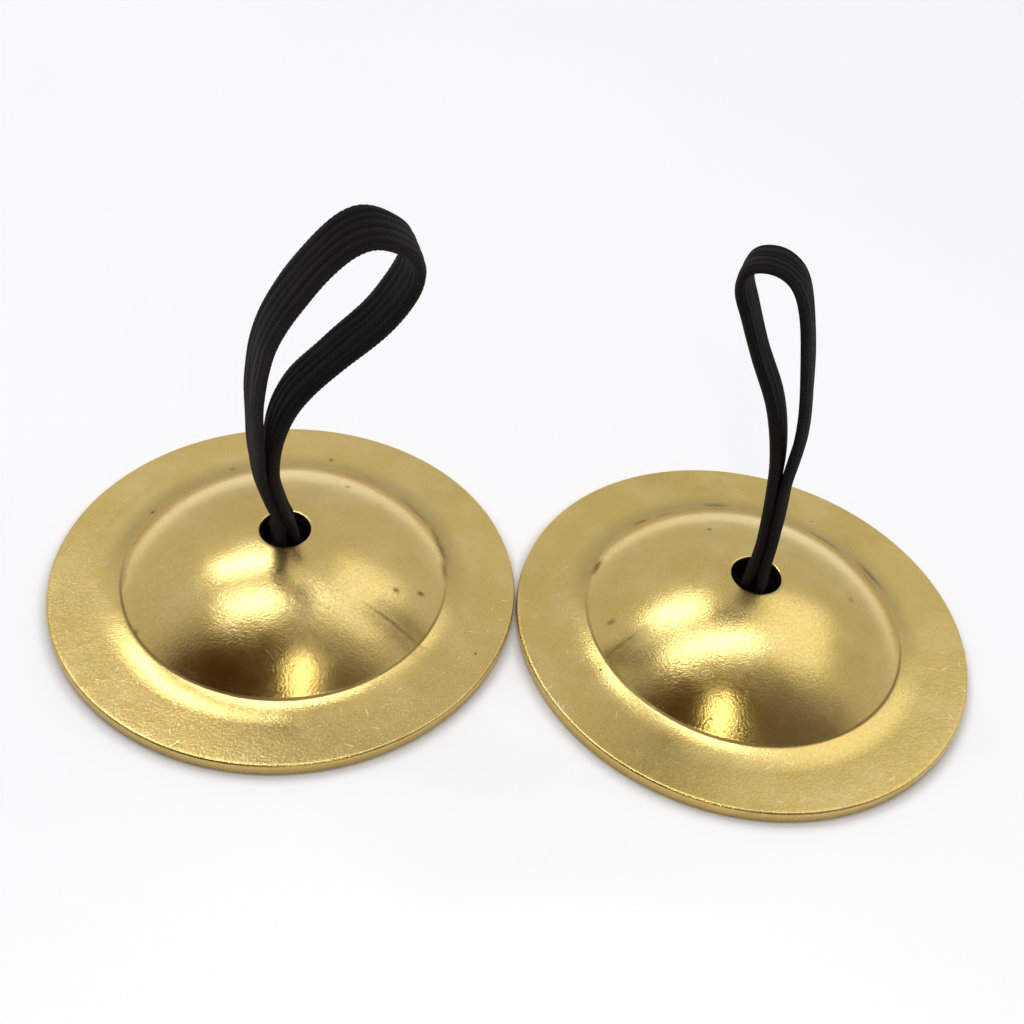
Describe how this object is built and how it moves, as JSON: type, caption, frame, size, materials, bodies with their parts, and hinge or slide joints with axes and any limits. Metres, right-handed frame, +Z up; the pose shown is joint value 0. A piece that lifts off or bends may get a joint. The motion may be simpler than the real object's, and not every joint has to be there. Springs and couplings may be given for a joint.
{
  "type": "finger cymbals",
  "caption": "Pair of small brass finger cymbals with raised domes, flat rims and black elastic finger loops knotted through the dome hole.",
  "frame": {"origin": "on the table plane, midway between the two discs", "axes": "+X through both dome centres, +Z up, -Y towards the side the picture is taken from"},
  "size_m": [0.1142, 0.057, 0.0597],
  "materials": {
    "brass": "satin, finely brushed",
    "elastic": "ribbed braided elastic"
  },
  "bodies": {
    "left_disc": {"left_cymbal": "brass"},
    "left_strap_end": {"left_neck": "elastic", "left_knot": "elastic", "left_tail_a": "elastic", "left_tail_b": "elastic"},
    "left_finger_loop": {"left_loop": "elastic"},
    "right_disc": {"right_cymbal": "brass"},
    "right_strap_end": {"right_neck": "elastic", "right_knot": "elastic", "right_tail_a": "elastic", "right_tail_b": "elastic"},
    "right_finger_loop": {"right_loop": "elastic"}
  },
  "joints": [
    {"name": "left_spin", "type": "hinge", "parent": "left_disc", "child": "left_strap_end", "pos_m": [-0.02865, 0, 0.0098], "axis": [0, 0, 1], "continuous": true},
    {"name": "left_flop", "type": "hinge", "parent": "left_strap_end", "child": "left_finger_loop", "pos_m": [-0.02865, 0, 0.0115], "axis": [-0.4226, 0.9063, 0], "range_deg": [-55, 70], "stiffness_Nm_per_rad": 0.002},
    {"name": "right_spin", "type": "hinge", "parent": "right_disc", "child": "right_strap_end", "pos_m": [0.02865, 0, 0.0098], "axis": [0, 0, 1], "continuous": true},
    {"name": "right_flop", "type": "hinge", "parent": "right_strap_end", "child": "right_finger_loop", "pos_m": [0.02865, 0, 0.0115], "axis": [0.309, 0.9511, 0], "range_deg": [-55, 70], "stiffness_Nm_per_rad": 0.002},
    {"name": "right_lift", "type": "slide", "parent": "left_disc", "child": "right_disc", "axis": [0, 0, 1], "range_m": [0, 0.08]}
  ]
}
